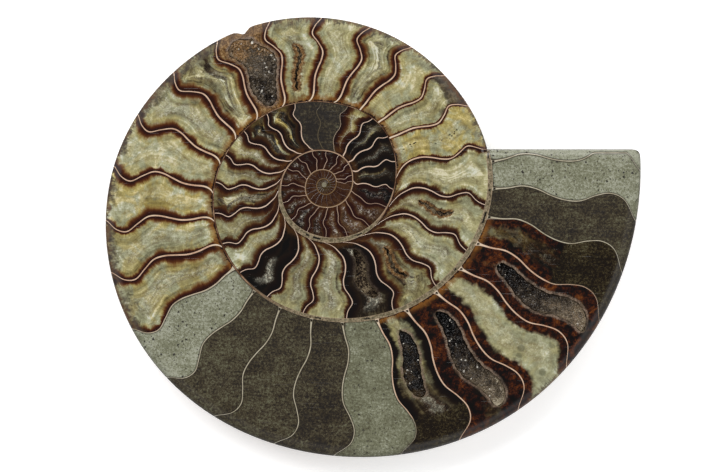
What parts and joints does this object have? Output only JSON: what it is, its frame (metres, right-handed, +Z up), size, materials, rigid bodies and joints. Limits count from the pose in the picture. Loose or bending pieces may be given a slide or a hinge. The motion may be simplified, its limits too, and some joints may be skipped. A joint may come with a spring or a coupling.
{
  "type": "ammonite fossil half",
  "caption": "Half of a coiled ammonite fossil, sawn flat and polished to show curved septa, mineral-filled chambers and small crystal hollows; it lies on its domed back.",
  "frame": {"origin": "under the middle of the half's bounds, on the surface that its domed back rests on", "axes": "+Z up out of the cut face; +X along the longest extent, towards the aperture end; +Y across, so that the coil runs anticlockwise as seen from above"},
  "size_m": [0.1874, 0.154, 0.021],
  "materials": {
    "fossil_stone": "polished mineral: green-cream, brown and black calcite, dark and grey silt, pale pink-brown septa, all procedural",
    "crystals": "fine sparkling crystals, brown to grey"
  },
  "bodies": {
    "root": {"ammonite_half": "fossil_stone", "crystal_crust_top": "crystals", "crystal_crust_green": "crystals", "crystal_crust_slit": "crystals", "crystal_crust_grey": "crystals"}
  },
  "joints": []
}
